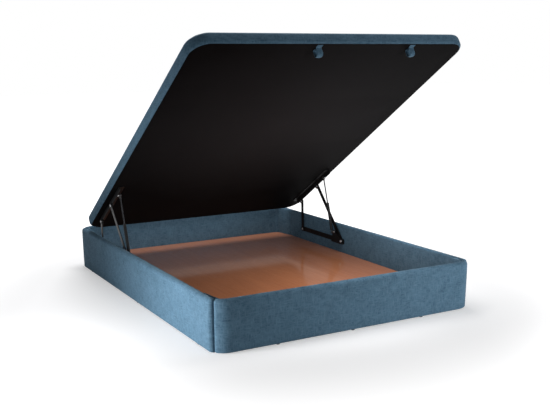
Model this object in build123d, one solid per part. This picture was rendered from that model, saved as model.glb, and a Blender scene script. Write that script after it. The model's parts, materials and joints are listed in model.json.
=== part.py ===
"""Upholstered storage bed base with a lifting mattress platform.

Millimetres, +X to the right, +Y towards the head end, +Z up.  The origin is the
centre of the footprint on the floor.  The platform is built in its raised
position; its own frame has y = 0 at its rear edge, y = -LENGTH at its front edge
and z = 0 at its underside.
"""

from build123d import *
from math import asin, atan2, cos, degrees, hypot, radians, sin
import os

# Overall size
WIDTH = 1500.0
LENGTH = 2000.0
RIM = 256.0
GLIDE = 5.0

# Box walls: a board with a padded fabric cover all round
WALL = 32.0
COVER = 4.0
CORNER_R = 88.0
RIM_R = 14.0
HEM_R = 9.0
SEAM_Y = 952.0
SEAM_GAP = 0.6
POST_X = 4.0
POST_Y = 140.0
POST_R = 2.0
POST_TOP_R = 1.0
POST_BEND_END = 52.0

# Storage floor, the battens under it and the glides
FLOOR_TOP = 76.0
FLOOR_THICK = 10.0
FLOOR_GAP = 2.0
FLOOR_EDGE = 1.0
BATTEN_WIDE = 24.0
BATTEN_TALL = 30.0
BATTEN_END_GAP = 12.0
CENTRE_RAIL_WIDE = 40.0
CROSS_RAIL_Y = (-480.0, 0.0, 480.0)
TIE_REACH = 58.0
TIE_R = 9.0
TIE_THICK = 2.5
TIE_SCREW_R = 4.5
TIE_SCREW_TALL = 2.0
GLIDE_R = 10.0
GLIDE_EDGE = 1.5
SIDE_GLIDE_Y = (-800.0, 0.0, 800.0)
END_GLIDE_X = (-420.0, 0.0, 420.0)
CENTRE_GLIDE_Y = (-400.0, 400.0)

# Platform: a steel frame and a board inside a padded fabric border
LID_THICK = 55.0
LID_CORNER_R = 95.0
LID_EDGE_R = 14.0
LID_COVER = 3.0
LINING_INSET = 10.0
LINING_THICK = 1.4
TOP_INSET = 16.0
TOP_THICK = 2.4
TUBE_INSET = 14.0
TUBE_WIDE = 50.0
TUBE_TALL = 30.0
TUBE_WALL = 1.5
CROSS_TUBE_WIDE = 30.0
CROSS_TUBE_Y = (-500.0, -1000.0, -1500.0)
BOARD_THICK = 10.0
LAYER_GAP = 0.3

# Raised and lowered positions of the platform's rear lower edge
LID_ANGLE = 32.5
RAISED_Y = 820.0
RAISED_Z = 269.0
CLOSED_GAP = 3.0

# Lift mechanism: pivots on the platform as (distance from the rear edge, drop)
REAR_TOP = (182.0, 30.0)
FRONT_TOP = (414.0, 30.0)
STRUT_TOP = (540.0, 26.0)
PIVOT_Z = 151.0
STRUT_FOOT = (243.0, 198.0)

# Distances of the mechanism's layers from the middle plane of the bed
WALL_FACE = WIDTH / 2 - WALL
RAIL_THICK = 3.5
ARM_OUT = WALL_FACE - 7.0
ARM_THICK = 4.0
ARM_IN = ARM_OUT - ARM_THICK
EAR_OUT = ARM_IN - 3.5
EAR_IN = EAR_OUT - RAIL_THICK
STRUT_X = EAR_IN - 14.0

ARM_WIDE = 25.0
EYE_R = 13.0
RIB_WIDE = 6.0
RIB_TALL = 1.0
RIB_END_GAP = 30.0
PIN_R = 4.0
RUN_GAP = 0.1
FIT_GAP = 0.05
SIDE_GAP = 0.3
HEAD_R = 8.0
HEAD_TALL = 3.4
SMALL_HEAD_R = 7.0
SMALL_HEAD_TALL = 2.6
DOME_SHARE = 0.7
COLLAR_R = 6.0
NUT_TALL = 2.5
BOSS_R = 8.0

LOWER_RAIL_TALL = 30.0
LOWER_RAIL_START = 148.0
LOWER_RAIL_END = 672.0
LOWER_SCREW_Y = (320.0, 430.0, 540.0)
EAR_HEEL_Y = 276.0
EAR_CORNER_R = 3.0
SKIRT_TALL = 18.0
UPPER_RAIL_START = 130.0
UPPER_RAIL_END = 604.0
UPPER_RAIL_DROP = 26.0
UPPER_RAIL_FOOT = 34.0
UPPER_RAIL_R = 10.0
UPPER_EAR_WIDE = 64.0
UPPER_SCREW_Y = (160.0, 300.0, 480.0, 580.0)
SCREW_HEAD_R = 6.0
SCREW_HEAD_TALL = 2.2
SCREW_SHANK_R = 2.2
STUD_COLLAR_R = 6.5
STUD_COLLAR_LONG = 3.0

CYLINDER_R = 9.0
CYLINDER_EDGE = 1.5
CYLINDER_BORE_R = 7.6
CYLINDER_START = 14.0
CYLINDER_END = 192.0
CYLINDER_BASE = 4.0
GUIDE_LONG = 14.0
ROD_R = 4.0
ROD_GAP = 0.2
PISTON_R = 7.3
PISTON_LONG = 8.0
PISTON_REST = 3.0
SOCKET_R = 8.0
SOCKET_LONG = 13.0
SOCKET_EDGE = 1.5
NECK_R = 5.5
NECK_LONG = 18.0
BALL_R = 5.0
BALL_PIN_R = 3.0
BALL_MOUTH_R = 3.8
OPEN_PIVOT_GAP = 1.5

# Pull straps under the front edge; the path is (distance from STRAP_Y, height) along Y
STRAP_X = (-115.0, 412.0)
STRAP_Y = -1947.0
STRAP_WIDE = 30.0
STRAP_THICK = 2.4
STRAP_PATH = ((2.0, 0.0), (-16.0, 0.0), (-17.0, -48.0), (15.0, -46.0), (14.0, 0.0), (40.0, 0.0))
STRAP_RADII = (5.0, 14.0, 14.0, 6.0)


def slab(width, length, radius, low, high):
    """A flat slab with rounded vertical corners, centred on the Z axis."""
    return extrude(Plane.XY.offset(low) * RectangleRounded(width, length, radius), high - low)


def block(x, y, z):
    """A box given by its (low, high) limits on each axis."""
    place = Pos((x[0] + x[1]) / 2, (y[0] + y[1]) / 2, (z[0] + z[1]) / 2)
    return place * Box(x[1] - x[0], y[1] - y[0], z[1] - z[0])


def side_plate(outline, inner, outer):
    """An outline drawn in Y and Z, made solid from X = inner to X = outer."""
    return extrude(Plane.YZ.offset(inner) * outline, outer - inner)


def peg(y, z, radius, inner, outer):
    """A round pin that lies along X."""
    return side_plate(Pos(y, z) * Circle(radius), inner, outer)


def dome_head(y, z, radius, face, tall):
    """A low domed head that stands on X = face and bulges towards the middle."""
    head = peg(y, z, radius, face - tall, face)
    return fillet(head.edges().group_by(Axis.X)[0], tall * DOME_SHARE)


def on_lid(shape):
    """Move a shape from the platform's own frame to its raised position."""
    return Pos(0, RAISED_Y, RAISED_Z) * Rot(-LID_ANGLE, 0, 0) * shape


def group(pieces):
    """Separate solids that share one node."""
    return Compound(children=[solid for piece in pieces for solid in piece.solids()])


def both_sides(name, shape):
    """Save a right-hand piece and its mirror image."""
    save("right_" + name, shape)
    save("left_" + name, group([solid.mirror(Plane.YZ) for solid in shape.solids()]))


def save(name, shape):
    """Write one node to its own STEP file."""
    export_step(shape, f"parts/{name}.step")


def lid_point(place, angle, rear):
    """Y and Z of a pivot on the platform, for one platform position."""
    along, drop = place
    turn = radians(angle)
    y = rear[0] - along * cos(turn) - drop * sin(turn)
    z = rear[1] + along * sin(turn) - drop * cos(turn)
    return y, z


def ground_pivot(raised, closed, z):
    """The point at height z that is equally far from a pivot's two end positions."""
    run = closed[0] - raised[0]
    rise = closed[1] - raised[1]
    middle_y = (raised[0] + closed[0]) / 2
    middle_z = (raised[1] + closed[1]) / 2
    return middle_y - (z - middle_z) * rise / run, z


RAISED = (RAISED_Y, RAISED_Z)
CLOSED = (LENGTH / 2, RIM + CLOSED_GAP)
REAR_UP = lid_point(REAR_TOP, LID_ANGLE, RAISED)
REAR_DOWN = lid_point(REAR_TOP, 0, CLOSED)
FRONT_UP = lid_point(FRONT_TOP, LID_ANGLE, RAISED)
FRONT_DOWN = lid_point(FRONT_TOP, 0, CLOSED)
STRUT_UP = lid_point(STRUT_TOP, LID_ANGLE, RAISED)
STRUT_DOWN = lid_point(STRUT_TOP, 0, CLOSED)
REAR_FOOT = ground_pivot(REAR_UP, REAR_DOWN, PIVOT_Z)
FRONT_FOOT = ground_pivot(FRONT_UP, FRONT_DOWN, PIVOT_Z)


CENTRE_X = WIDTH / 2 - CORNER_R
CENTRE_Y = LENGTH / 2 - CORNER_R


def wall_ring(inset, low, high):
    """The ring of the four walls, shrunk by inset on its two faces."""
    outer = slab(WIDTH - 2 * inset, LENGTH - 2 * inset, CORNER_R - inset, low, high)
    depth = 2 * (WALL - inset)
    hole = slab(WIDTH - depth, LENGTH - depth, CORNER_R - WALL + inset, low - 1, high + 1)
    return outer - hole


def end_wall(inset, low, high):
    """The foot wall with its two rounded ends, shrunk by inset."""
    cut = -SEAM_Y - SEAM_GAP / 2 - inset
    keep = block((-WIDTH, WIDTH), (-LENGTH, cut), (low - 1, high + 1))
    return wall_ring(inset, low, high) & keep


def side_wall(inset, low, high):
    """The straight right wall, shrunk by inset."""
    reach = SEAM_Y - SEAM_GAP / 2 - inset
    return block((WALL_FACE + inset, WIDTH / 2 - inset), (-reach, reach), (low, high))


def soften(wall, radius):
    """Round a wall's top edges and its upright ends."""
    ends = wall.edges().filter_by(Axis.Z).filter_by(lambda e: abs(e.center().Y) > SEAM_Y - WALL)
    return fillet(wall.edges().group_by(Axis.Z)[-1] + ends, radius)


def hem_edges(wall):
    """The edges round a wall's underside."""
    return wall.edges().filter_by_position(Axis.Z, GLIDE, GLIDE)


def build_wall(make):
    """One wall's board and the padded cover that is wrapped round it."""
    board = soften(make(COVER, GLIDE, RIM - COVER), RIM_R - COVER)
    board = chamfer(hem_edges(board), HEM_R - COVER)
    cover = soften(make(0, GLIDE, RIM), RIM_R)
    cover = fillet(hem_edges(cover), HEM_R) - board
    return board, cover


def build_walls():
    """Boards and padded covers of the four walls."""
    foot_board, foot_cover = build_wall(end_wall)
    side_board, side_cover = build_wall(side_wall)
    save("foot_board", foot_board)
    save("head_board", foot_board.mirror(Plane.XZ))
    save("foot_cover", foot_cover)
    save("head_cover", foot_cover.mirror(Plane.XZ))
    both_sides("side_board", side_board)
    both_sides("side_cover", side_cover)


def four_corners(shape):
    """A shape from the corner at +X and +Y, repeated in all four corners."""
    right = [shape, shape.mirror(Plane.XZ)]
    return group(right + [piece.mirror(Plane.YZ) for piece in right])


def build_posts():
    """Padded wedges that cover the joins of side and end walls from the inside."""
    gap = SEAM_GAP / 2
    bend_r = CORNER_R - WALL - gap
    start = asin((SEAM_Y - 2 * gap - CENTRE_Y) / bend_r)
    end = radians(POST_BEND_END)
    bend = [
        (CENTRE_X + bend_r * cos(turn), CENTRE_Y + bend_r * sin(turn))
        for turn in (start, (start + end) / 2, end)
    ]
    tip_y = LENGTH / 2 - WALL - POST_Y
    outline = ThreePointArc(*bend) + Polyline(
        bend[2],
        (WALL_FACE - POST_X, tip_y),
        (WALL_FACE - gap, tip_y),
        (WALL_FACE - gap, bend[0][1]),
        bend[0],
    )
    post = extrude(Plane.XY.offset(GLIDE) * make_face(outline), RIM - COVER - GLIDE)
    slant = post.faces().sort_by(Axis((0, 0, 0), (-1, 0, 0)))[-1]
    post = fillet(slant.edges().filter_by(Axis.Z), POST_R)
    post = fillet(post.edges().filter_by_position(Axis.Z, RIM - COVER, RIM - COVER), POST_TOP_R)
    save("corner_posts", four_corners(post))


def build_floor():
    """Storage floor with its corners cut away round the posts."""
    x = WALL_FACE - FLOOR_GAP
    y = LENGTH / 2 - WALL - FLOOR_GAP
    tip_y = y - POST_Y
    bend_r = CORNER_R - WALL - FLOOR_GAP
    post_end = radians(POST_BEND_END)
    heel_x = CENTRE_X + bend_r * cos(post_end) - FLOOR_GAP
    heel_y = CENTRE_Y + bend_r * sin(post_end) - FLOOR_GAP
    corner = [(x, tip_y), (x - POST_X, tip_y), (heel_x, heel_y), (CENTRE_X, y)]
    turned = [(-px, py) for px, py in reversed(corner)]
    rear = corner + turned
    outline = Polyline(*rear, *[(px, -py) for px, py in reversed(rear)], close=True)
    panel = extrude(Plane.XY.offset(FLOOR_TOP - FLOOR_THICK) * make_face(outline), FLOOR_THICK)
    save("floor_panel", chamfer(panel.faces().sort_by(Axis.Z)[-1].edges(), FLOOR_EDGE))


def build_floor_support():
    """Battens and rails under the floor, corner ties and glides."""
    wall_y = LENGTH / 2 - WALL
    high = FLOOR_TOP - FLOOR_THICK
    low = high - BATTEN_TALL
    side_reach = wall_y - POST_Y - BATTEN_END_GAP
    side = block((WALL_FACE - BATTEN_WIDE, WALL_FACE), (-side_reach, side_reach), (low, high))
    save("side_battens", group([side, side.mirror(Plane.YZ)]))
    end_reach = CENTRE_X - BATTEN_END_GAP
    end = block((-end_reach, end_reach), (wall_y - BATTEN_WIDE, wall_y), (low, high))
    save("end_battens", group([end, end.mirror(Plane.XZ)]))

    half = CENTRE_RAIL_WIDE / 2
    rail_y = wall_y - BATTEN_WIDE
    save("centre_rail", block((-half, half), (-rail_y, rail_y), (GLIDE, high)))
    span = (half, WALL_FACE - BATTEN_WIDE)
    rails = []
    for rail in CROSS_RAIL_Y:
        right = block(span, (rail - BATTEN_WIDE / 2, rail + BATTEN_WIDE / 2), (low, high))
        rails += [right, right.mirror(Plane.YZ)]
    save("cross_rails", group(rails))

    ends = (
        (end_reach - TIE_REACH, wall_y - BATTEN_WIDE / 2),
        (WALL_FACE - BATTEN_WIDE / 2, side_reach - TIE_REACH),
    )
    eyes = Sketch() + [Pos(*spot) * Circle(TIE_R) for spot in ends]
    tie = extrude(Plane.XY.offset(low - TIE_THICK) * make_hull(eyes.edges()), TIE_THICK)
    save("corner_ties", four_corners(tie))
    screw = Cylinder(TIE_SCREW_R, TIE_SCREW_TALL, align=(Align.CENTER, Align.CENTER, Align.MAX))
    screws = [four_corners(Pos(*spot, low - TIE_THICK) * screw) for spot in ends]
    save("tie_screws", group(screws))

    puck = Cylinder(GLIDE_R, GLIDE, align=(Align.CENTER, Align.CENTER, Align.MIN))
    puck = chamfer(puck.edges().group_by(Axis.Z)[0], GLIDE_EDGE)
    wall_x = (WIDTH - WALL) / 2
    end_y = (LENGTH - WALL) / 2
    spots = [(side * wall_x, y) for side in (-1, 1) for y in SIDE_GLIDE_Y]
    spots += [(x, side * end_y) for side in (-1, 1) for x in END_GLIDE_X]
    spots += [(0, y) for y in CENTRE_GLIDE_Y]
    save("glides", group([Pos(*spot, 0) * puck for spot in spots]))


def build_lower_rail():
    """Steel rail on the wall, with the bracket that holds the front arm and the gas spring."""
    middle = (LOWER_RAIL_START + LOWER_RAIL_END) / 2
    long = LOWER_RAIL_END - LOWER_RAIL_START
    bar = Pos(middle, PIVOT_Z) * RectangleRounded(long, LOWER_RAIL_TALL, LOWER_RAIL_TALL * 0.45)
    lip_low = PIVOT_Z - LOWER_RAIL_TALL / 2 - RAIL_THICK
    heel = Pos((LOWER_RAIL_START + EAR_HEEL_Y) / 2, lip_low + SKIRT_TALL / 2)
    skirt = heel * RectangleRounded(EAR_HEEL_Y - LOWER_RAIL_START, SKIRT_TALL, EAR_CORNER_R)
    holes = Sketch() + [Pos(y, PIVOT_Z) * Circle(SCREW_SHANK_R + FIT_GAP) for y in LOWER_SCREW_Y]
    bolt_hole = Pos(*FRONT_FOOT) * Circle(PIN_R + FIT_GAP)
    rail_face = WALL_FACE - RAIL_THICK
    flange = side_plate(bar + skirt - holes - bolt_hole, rail_face, WALL_FACE)
    flange += peg(*REAR_FOOT, BOSS_R, ARM_OUT + SIDE_GAP, rail_face)
    lip_y = (LOWER_RAIL_START + EAR_CORNER_R, EAR_HEEL_Y - EAR_CORNER_R)
    lip = block((EAR_IN, rail_face), lip_y, (lip_low, lip_low + RAIL_THICK))
    corner_z = lip_low + EAR_CORNER_R
    corners = (
        Pos(*FRONT_FOOT) * Circle(EYE_R + 1)
        + Pos(*STRUT_FOOT) * Circle(EYE_R)
        + Pos(lip_y[0] + EAR_CORNER_R, corner_z) * Circle(EAR_CORNER_R)
        + Pos(lip_y[1] - EAR_CORNER_R, corner_z) * Circle(EAR_CORNER_R)
    )
    ear = side_plate(make_hull(corners.edges()) - bolt_hole, EAR_IN, EAR_OUT)
    both_sides("lower_rail", flange + lip + ear)

    screws = []
    for y in LOWER_SCREW_Y:
        head = dome_head(y, PIVOT_Z, SCREW_HEAD_R, rail_face, SCREW_HEAD_TALL)
        screws.append(head + peg(y, PIVOT_Z, SCREW_SHANK_R, rail_face, WALL_FACE))
    both_sides("lower_rail_screws", group(screws))

    bolt = dome_head(*FRONT_FOOT, HEAD_R, EAR_IN, HEAD_TALL)
    bolt += peg(*FRONT_FOOT, PIN_R, EAR_IN, WALL_FACE)
    bolt += peg(*FRONT_FOOT, COLLAR_R, EAR_OUT, ARM_IN - SIDE_GAP)
    bolt += peg(*FRONT_FOOT, COLLAR_R, ARM_OUT + SIDE_GAP, rail_face)
    both_sides("front_pivot_bolt", bolt)

    stud = peg(*STRUT_FOOT, PIN_R, STRUT_X + SOCKET_LONG / 2 + OPEN_PIVOT_GAP, EAR_IN)
    stud += peg(*STRUT_FOOT, STUD_COLLAR_R, EAR_IN - STUD_COLLAR_LONG, EAR_IN)
    both_sides("lower_stud", stud)


def arm_blank(foot, top):
    """A flat arm between two pivots, with round eyes and a pressed rib."""
    turn = degrees(atan2(top[1] - foot[1], top[0] - foot[0]))
    reach = hypot(top[0] - foot[0], top[1] - foot[1])
    lie = Pos(*foot) * Rot(0, 0, turn)
    bar = lie * Pos(reach / 2, 0) * Rectangle(reach, ARM_WIDE)
    outline = bar + Pos(*foot) * Circle(EYE_R) + Pos(*top) * Circle(EYE_R)
    arm = side_plate(outline, ARM_IN, ARM_OUT)
    rib = lie * Pos(reach / 2, 0) * SlotOverall(reach - 2 * RIB_END_GAP, RIB_WIDE)
    return arm + side_plate(rib, ARM_IN - RIB_TALL, ARM_IN)


def build_arms():
    """Front and rear arms; the rear arm carries its own rivet at its foot."""
    through = (ARM_IN - ARM_THICK, ARM_OUT + ARM_THICK)
    front = arm_blank(FRONT_FOOT, FRONT_UP)
    for pivot in (FRONT_FOOT, FRONT_UP):
        front -= peg(*pivot, PIN_R + RUN_GAP, *through)
    both_sides("front_arm", front)
    rear = arm_blank(REAR_FOOT, REAR_UP) - peg(*REAR_UP, PIN_R + RUN_GAP, *through)
    rear -= peg(*REAR_FOOT, PIN_R, *through)
    both_sides("rear_arm", rear)
    rivet = dome_head(*REAR_FOOT, SMALL_HEAD_R, ARM_IN, SMALL_HEAD_TALL)
    rivet += peg(*REAR_FOOT, PIN_R, ARM_IN, ARM_OUT)
    both_sides("rear_arm_rivet", rivet)


def build_upper_rail():
    """Steel angle under the platform, in the platform's own frame until it is placed."""
    pivots = [(-along, -drop) for along, drop in (REAR_TOP, FRONT_TOP)]
    web = Pos(-(UPPER_RAIL_START + UPPER_RAIL_END) / 2, -UPPER_RAIL_DROP / 2)
    outline = web * Rectangle(UPPER_RAIL_END - UPPER_RAIL_START, UPPER_RAIL_DROP)
    outline = fillet(outline.vertices().group_by(Axis.Y)[0], UPPER_RAIL_R)
    root = Rectangle(UPPER_EAR_WIDE, UPPER_RAIL_R, align=(Align.CENTER, Align.MAX))
    for spot in pivots:
        ear = Pos(*spot) * Circle(EYE_R + 2) + Pos(spot[0], 0) * root
        outline += make_hull(ear.edges())
    for spot in pivots:
        outline -= Pos(*spot) * Circle(PIN_R + FIT_GAP)
    rail = side_plate(outline, EAR_IN, EAR_OUT)
    foot_in = EAR_OUT - UPPER_RAIL_FOOT
    foot = block((foot_in, EAR_IN), (-UPPER_RAIL_END, -UPPER_RAIL_START), (-RAIL_THICK, 0))
    foot = fillet(foot.edges().filter_by(Axis.Z).group_by(Axis.X)[0], UPPER_RAIL_R)
    both_sides("upper_rail", on_lid(rail + foot))

    tube_in = WIDTH / 2 - TUBE_INSET - TUBE_WIDE
    head = Cylinder(SCREW_HEAD_R, SCREW_HEAD_TALL, align=(Align.CENTER, Align.CENTER, Align.MAX))
    head = fillet(head.edges().group_by(Axis.Z)[0], SCREW_HEAD_TALL * DOME_SHARE)
    screws = [Pos(tube_in + SCREW_HEAD_R, -along, -RAIL_THICK) * head for along in UPPER_SCREW_Y]
    both_sides("upper_rail_screws", on_lid(group(screws)))

    bolts = []
    bolt_end = ARM_OUT + SIDE_GAP
    for spot in pivots:
        bolt = dome_head(*spot, SMALL_HEAD_R, EAR_IN, SMALL_HEAD_TALL)
        bolt += peg(*spot, PIN_R, EAR_IN, bolt_end)
        bolt += peg(*spot, COLLAR_R, EAR_OUT, ARM_IN - SIDE_GAP)
        bolt += peg(*spot, COLLAR_R, bolt_end, bolt_end + NUT_TALL)
        bolts.append(bolt)
    both_sides("upper_pivot_bolts", on_lid(group(bolts)))

    spot = (-STRUT_TOP[0], -STRUT_TOP[1])
    stud = peg(*spot, BALL_PIN_R, STRUT_X, EAR_IN)
    stud += peg(*spot, COLLAR_R, EAR_IN - STUD_COLLAR_LONG, EAR_IN)
    stud += Pos(STRUT_X, *spot) * Rot(0, 90, 0) * Sphere(BALL_R)
    both_sides("upper_stud", on_lid(stud))


def build_gas_spring():
    """Gas spring: cylinder with its socket, and rod with piston and ball socket."""
    rise = STRUT_UP[1] - STRUT_FOOT[1]
    run = STRUT_UP[0] - STRUT_FOOT[0]
    reach = hypot(run, rise)
    place = Pos(STRUT_X, *STRUT_FOOT) * Rot(-degrees(asin(run / reach)), 0, 0)
    up = (Align.CENTER, Align.CENTER, Align.MIN)
    down = (Align.CENTER, Align.CENTER, Align.MAX)

    tube = Pos(0, 0, CYLINDER_START) * Cylinder(CYLINDER_R, CYLINDER_END - CYLINDER_START, align=up)
    tube = fillet(tube.edges(), CYLINDER_EDGE)
    bore_low = CYLINDER_START + CYLINDER_BASE
    bore_high = CYLINDER_END - GUIDE_LONG
    tube -= Pos(0, 0, bore_low) * Cylinder(CYLINDER_BORE_R, bore_high - bore_low, align=up)
    tube -= Pos(0, 0, bore_low) * Cylinder(ROD_R + ROD_GAP, CYLINDER_END - bore_low, align=up)
    both_sides("cylinder", place * tube)

    cup = Rot(0, 90, 0) * Cylinder(SOCKET_R, SOCKET_LONG)
    cup = fillet(cup.edges(), SOCKET_EDGE)
    both_sides("cylinder_socket", place * (cup + Cylinder(NECK_R, CYLINDER_START, align=up)))

    piston_low = bore_high - PISTON_LONG - PISTON_REST
    rod_long = reach - NECK_LONG - piston_low
    rod = Cylinder(ROD_R, rod_long, align=up) + Cylinder(PISTON_R, PISTON_LONG, align=up)
    both_sides("rod", place * Pos(0, 0, piston_low) * rod)

    ball_room = Rot(0, 90, 0) * Sphere(BALL_R + ROD_GAP)
    mouth = Pos(SOCKET_LONG / 2, 0, 0) * Rot(0, 90, 0) * Cylinder(BALL_MOUTH_R, SOCKET_LONG)
    head = cup + Cylinder(NECK_R, NECK_LONG, align=down) - ball_room - mouth
    both_sides("rod_socket", place * Pos(0, 0, reach) * head)


def lid_slab(inset, low, high):
    """A slab of the platform's outline, shrunk by inset, in the platform's frame."""
    shape = slab(WIDTH - 2 * inset, LENGTH - 2 * inset, LID_CORNER_R - inset, low, high)
    return Pos(0, -LENGTH / 2, 0) * shape


def rim_edges(shape, height):
    """The edges of a platform slab that lie at one height."""
    return shape.edges().filter_by_position(Axis.Z, height, height)


CORE_LOW = LINING_THICK
CORE_HIGH = LID_THICK - TOP_THICK
TUBE_HIGH = CORE_LOW + TUBE_TALL
BOARD_HIGH = TUBE_HIGH + BOARD_THICK


def lid_core(inset):
    """The inside of the border, shrunk by inset on its sides."""
    core = lid_slab(LID_COVER + inset, CORE_LOW, CORE_HIGH)
    rims = rim_edges(core, CORE_LOW) + rim_edges(core, CORE_HIGH)
    return fillet(rims, LID_EDGE_R - LID_COVER - inset)


def build_platform():
    """Border, lining and top cloth of the platform, with the foam and the board between them."""
    border = lid_slab(0, 0, LID_THICK)
    border = fillet(rim_edges(border, 0) + rim_edges(border, LID_THICK), LID_EDGE_R)
    border -= lid_core(0)
    border -= lid_slab(LINING_INSET, -1, CORE_LOW + 1)
    border -= lid_slab(TOP_INSET, CORE_HIGH - 1, LID_THICK + 1)
    save("platform_border", on_lid(border))

    lining = lid_slab(LINING_INSET + LAYER_GAP, 0, LINING_THICK)
    save("platform_lining", on_lid(lining))
    top = lid_slab(TOP_INSET + LAYER_GAP, CORE_HIGH, LID_THICK)
    save("platform_top", on_lid(top))

    board = lid_slab(TUBE_INSET, TUBE_HIGH, BOARD_HIGH)
    save("platform_board", on_lid(board))
    pad = lid_core(LAYER_GAP) - lid_slab(TUBE_INSET - LAYER_GAP, 0, BOARD_HIGH)
    save("platform_pad", on_lid(pad))


def build_tubes():
    """Steel frame of the platform: one bent rim tube, with cross tubes welded in."""
    rim_in = TUBE_INSET + TUBE_WIDE
    rim = lid_slab(TUBE_INSET, CORE_LOW, TUBE_HIGH) - lid_slab(rim_in, CORE_LOW, TUBE_HIGH)
    bore = (CORE_LOW + TUBE_WALL, TUBE_HIGH - TUBE_WALL)
    rim -= lid_slab(TUBE_INSET + TUBE_WALL, *bore) - lid_slab(rim_in - TUBE_WALL, *bore)
    save("rim_tube", on_lid(rim))

    span = (rim_in - WIDTH / 2, WIDTH / 2 - rim_in)
    half = CROSS_TUBE_WIDE / 2
    cross = []
    for y in CROSS_TUBE_Y:
        tube = block(span, (y - half, y + half), (CORE_LOW, TUBE_HIGH))
        tube -= block(span, (y - half + TUBE_WALL, y + half - TUBE_WALL), bore)
        cross.append(tube)
    save("cross_tubes", on_lid(group(cross)))


def build_straps():
    """Two fabric pull straps, each bent to a loop that hangs under the front edge."""
    for name, x in zip(("left_pull_strap", "right_pull_strap"), STRAP_X):
        line = FilletPolyline(*STRAP_PATH, radius=list(STRAP_RADII))
        band = trace(line, line_width=STRAP_THICK)
        place = (x - STRAP_WIDE / 2, STRAP_Y, -STRAP_THICK / 2)
        lie = Plane(origin=place, x_dir=(0, 1, 0), z_dir=(1, 0, 0))
        strap = extrude(lie * band, STRAP_WIDE)
        save(name, on_lid(strap))


def report_motion():
    """Print the pivots and the turning ratios that close the linkage at both ends."""

    def heading(foot, top):
        return degrees(atan2(top[1] - foot[1], top[0] - foot[0]))

    lift = heading(FRONT_FOOT, FRONT_DOWN) - heading(FRONT_FOOT, FRONT_UP)
    rear = heading(REAR_FOOT, REAR_DOWN) - heading(REAR_FOOT, REAR_UP)
    strut = heading(STRUT_FOOT, STRUT_DOWN) - heading(STRUT_FOOT, STRUT_UP)
    long = hypot(STRUT_UP[0] - STRUT_FOOT[0], STRUT_UP[1] - STRUT_FOOT[1])
    short = hypot(STRUT_DOWN[0] - STRUT_FOOT[0], STRUT_DOWN[1] - STRUT_FOOT[1])
    print("front arm turns", round(lift, 4), "platform", LID_ANGLE, "rear arm", round(rear, 4))
    print("gas spring turns", round(strut, 4), "and shortens from", round(long, 3), "to", round(short, 3))
    for name, spot in (
        ("rear foot", REAR_FOOT),
        ("front foot", FRONT_FOOT),
        ("rear top", REAR_UP),
        ("front top", FRONT_UP),
        ("strut top", STRUT_UP),
    ):
        print(name, "y", round(spot[0], 3), "z", round(spot[1], 3))


os.makedirs("parts", exist_ok=True)
build_walls()
build_posts()
build_floor()
build_floor_support()
build_lower_rail()
build_arms()
build_upper_rail()
build_gas_spring()
build_platform()
build_tubes()
build_straps()
report_motion()
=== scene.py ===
"""Looks of the upholstered storage bed base: padded covers, cloth, finishes, light and camera.

Shapes are worked out in millimetres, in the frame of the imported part, and turned into
metres when a mesh is made.  On the platform, x is the distance from its middle, y runs
from 0 at the rear edge to -LENGTH at the front edge and z is 0 at its underside.
"""

import json
import math

import bpy
from mathutils import Matrix, Vector, noise


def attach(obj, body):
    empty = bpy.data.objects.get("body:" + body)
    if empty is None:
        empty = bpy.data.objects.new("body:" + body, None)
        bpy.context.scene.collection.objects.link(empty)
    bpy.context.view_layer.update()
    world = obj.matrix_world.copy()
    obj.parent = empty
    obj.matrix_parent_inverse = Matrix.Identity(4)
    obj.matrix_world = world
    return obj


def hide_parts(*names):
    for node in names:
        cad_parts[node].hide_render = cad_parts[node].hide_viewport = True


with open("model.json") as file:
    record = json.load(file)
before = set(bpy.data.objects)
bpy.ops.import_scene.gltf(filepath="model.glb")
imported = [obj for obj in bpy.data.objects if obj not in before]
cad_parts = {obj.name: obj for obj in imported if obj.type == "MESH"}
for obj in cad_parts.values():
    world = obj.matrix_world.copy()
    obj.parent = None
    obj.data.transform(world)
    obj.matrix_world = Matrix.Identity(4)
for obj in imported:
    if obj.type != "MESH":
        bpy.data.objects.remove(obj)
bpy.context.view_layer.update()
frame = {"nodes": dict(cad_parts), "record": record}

MM = 0.001

# Box
WIDTH = 1500.0
LENGTH = 2000.0
RIM = 256.0
HEM = 4.6
WALL = 32.0
CORNER_R = 88.0
OUTER_R = 20.0
INNER_R = 11.0
END_TOP_R = 14.0
HEM_R = 9.0
SEAM_Y = 952.0
SEAM_GAP = 0.6
POST_X = 4.0
POST_Y = 140.0
POST_BEND_END = 52.0
POST_TOP = 252.0
POST_LOW = 5.0
WALL_FACE = WIDTH / 2 - WALL
CENTRE_X = WIDTH / 2 - CORNER_R
CENTRE_Y = LENGTH / 2 - CORNER_R

# Platform
LID_ANGLE = 32.5
RAISED_Y = 820.0
RAISED_Z = 269.0
LID_THICK = 55.0
LID_CORNER_R = 95.0
LID_EDGE_R = 14.0
LINING_INSET = 10.0
LINING_THICK = 0.8
LINING_LEVEL = 0.2
TOP_INSET = 16.0
CLOTH = 2.5
TUBE_WIDE = 50.0
CROSS_TUBES = (-500.0, -1000.0, -1500.0)

# Pull straps
STRAP_X = (-115.0, 412.0)
STRAP_Y = -1947.0
STRAP_WIDE = 30.0
STRAP_THICK = 2.4
STRAP_PATH = ((-37.0, 0.2), (-15.0, 0.2), (-17.0, -39.0), (15.0, -39.0), (14.0, 0.0), (-4.0, 0.0))
STRAP_RADII = (5.0, 14.0, 14.0, 5.0)

# Mesh steps along and up the padded pieces
STEP = 12.0
WALL_RISE = 20

# How the roundings share a wall's thickness where its end draws in
OUTER_SHARE = 0.62
HEM_SHARE = 0.28
SLIVER = 0.05

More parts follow.
